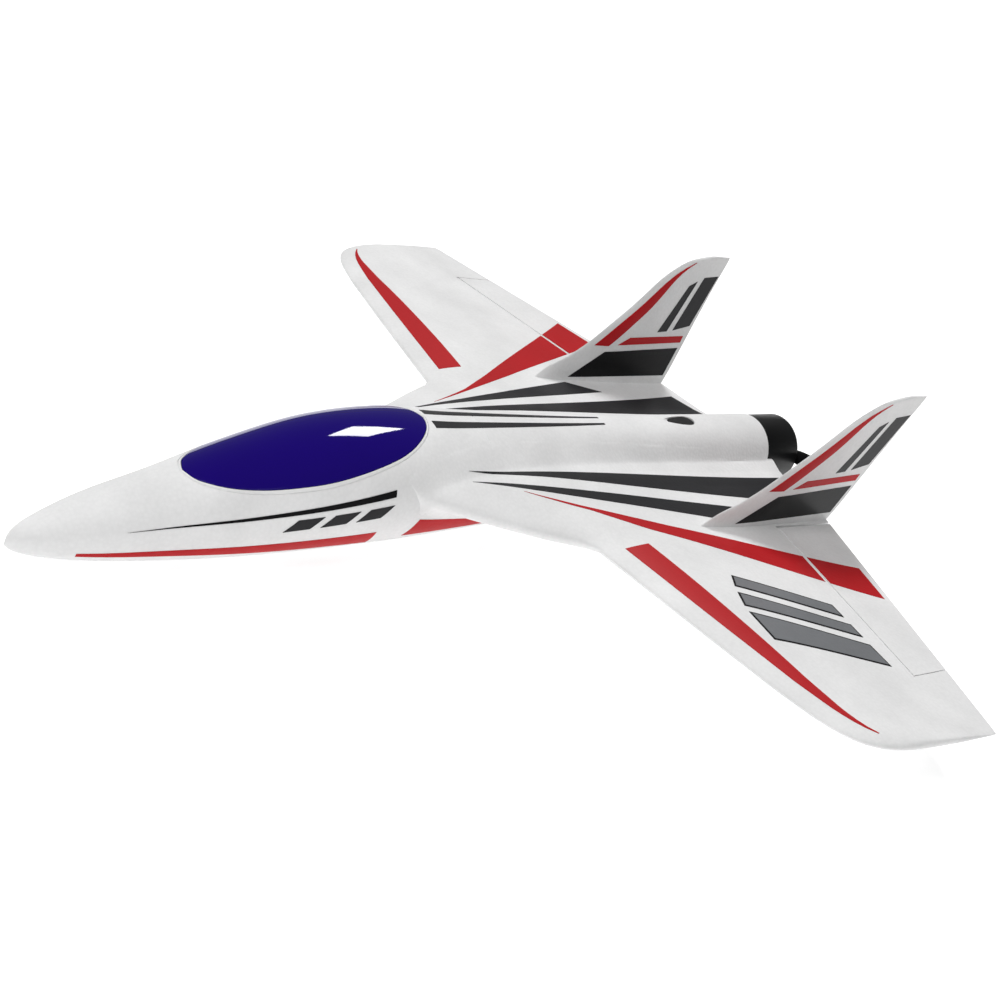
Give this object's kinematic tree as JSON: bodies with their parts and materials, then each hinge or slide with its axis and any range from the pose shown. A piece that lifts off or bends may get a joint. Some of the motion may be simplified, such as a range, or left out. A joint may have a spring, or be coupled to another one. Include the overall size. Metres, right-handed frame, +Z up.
{
  "type": "rc jet plane",
  "caption": "Foam radio-controlled jet with swept wing, twin fins, hinged elevons, lift-off canopy hatch and rear pusher propeller.",
  "frame": {"origin": "middle of the bounding box, on the plane of the flat keel that the model rests on", "axes": "nose towards -Y, port (left) wing towards +X, +Z up, keel level"},
  "size_m": [0.7826, 0.7728, 0.1723],
  "materials": {
    "foam": "moulded bead foam, satin white",
    "canopy_blue": "gloss deep blue",
    "black_plastic": "moulded, satin",
    "steel": "bright",
    "alloy": "machined",
    "copper": "wound copper over steel stack",
    "carbon": "pultruded carbon tube",
    "plywood": "light ply",
    "battery_wrap": "heat-shrink wrap",
    "strap": "hook and loop",
    "white_plastic": "nylon"
  },
  "bodies": {
    "airframe": {"battery": "battery_wrap", "battery_strap": "strap", "battery_tray": "plywood", "fin_left": "foam", "fin_right": "foam", "fuselage_left": "foam", "fuselage_magnet_front": "steel", "fuselage_magnet_rear": "steel", "fuselage_right": "foam", "main_spar": "carbon", "motor_mount": "black_plastic", "motor_screw_1": "steel", "motor_screw_2": "steel", "motor_screw_3": "steel", "motor_screw_4": "steel", "motor_stator": "copper", "nozzle": "black_plastic", "rear_spar": "carbon", "receiver": "black_plastic", "servo_left": "black_plastic", "servo_right": "black_plastic", "speed_controller": "black_plastic", "wing_left": "foam", "wing_right": "foam"},
    "canopy": {"canopy_frame": "foam", "canopy_magnet_front": "steel", "canopy_magnet_rear": "steel", "canopy_shell": "canopy_blue"},
    "rotor": {"motor_bell": "alloy", "motor_shaft": "steel", "prop_adapter": "alloy", "propeller": "black_plastic", "prop_nut": "steel"},
    "elevon_left": {"elevon_left": "foam", "elevon_horn_left": "black_plastic"},
    "servo_arm_left": {"servo_arm_left": "white_plastic"},
    "pushrod_left": {"pushrod_left": "steel"},
    "elevon_right": {"elevon_right": "foam", "elevon_horn_right": "black_plastic"},
    "servo_arm_right": {"servo_arm_right": "white_plastic"},
    "pushrod_right": {"pushrod_right": "steel"}
  },
  "joints": [
    {"name": "canopy_lift", "type": "slide", "parent": "airframe", "child": "canopy", "axis": [0, 0.0436, 0.999], "range_m": [0, 0.08]},
    {"name": "prop_spin", "type": "hinge", "parent": "airframe", "child": "rotor", "pos_m": [0, 0.37595, 0.03259], "axis": [0, 0.999, -0.0436], "continuous": true},
    {"name": "elevon_left_hinge", "type": "hinge", "parent": "airframe", "child": "elevon_left", "pos_m": [0.172, 0.22714, 0.03848], "axis": [0.9699, -0.2396, 0.0432], "range_deg": [-25, 25]},
    {"name": "servo_left_turn", "type": "hinge", "parent": "airframe", "child": "servo_arm_left", "pos_m": [0.15182, 0.14553, 0.03884], "axis": [0.9699, -0.2396, 0.0432], "range_deg": [-25, 25]},
    {"name": "pushrod_left_pivot", "type": "hinge", "parent": "servo_arm_left", "child": "pushrod_left", "pos_m": [0.15227, 0.14481, 0.02486], "axis": [0.9699, -0.2396, 0.0432], "range_deg": [-25, 25]},
    {"name": "elevon_right_hinge", "type": "hinge", "parent": "airframe", "child": "elevon_right", "pos_m": [-0.172, 0.22714, 0.03848], "axis": [0.9699, 0.2396, -0.0432], "range_deg": [-25, 25]},
    {"name": "servo_right_turn", "type": "hinge", "parent": "airframe", "child": "servo_arm_right", "pos_m": [-0.15182, 0.14553, 0.03884], "axis": [0.9699, 0.2396, -0.0432], "range_deg": [-25, 25]},
    {"name": "pushrod_right_pivot", "type": "hinge", "parent": "servo_arm_right", "child": "pushrod_right", "pos_m": [-0.15227, 0.14481, 0.02486], "axis": [0.9699, 0.2396, -0.0432], "range_deg": [-25, 25]}
  ],
  "couplings": [
    {"joint": "servo_left_turn", "follows": "elevon_left_hinge", "ratio": 1},
    {"joint": "pushrod_left_pivot", "follows": "elevon_left_hinge", "ratio": -1},
    {"joint": "servo_right_turn", "follows": "elevon_right_hinge", "ratio": 1},
    {"joint": "pushrod_right_pivot", "follows": "elevon_right_hinge", "ratio": -1}
  ]
}
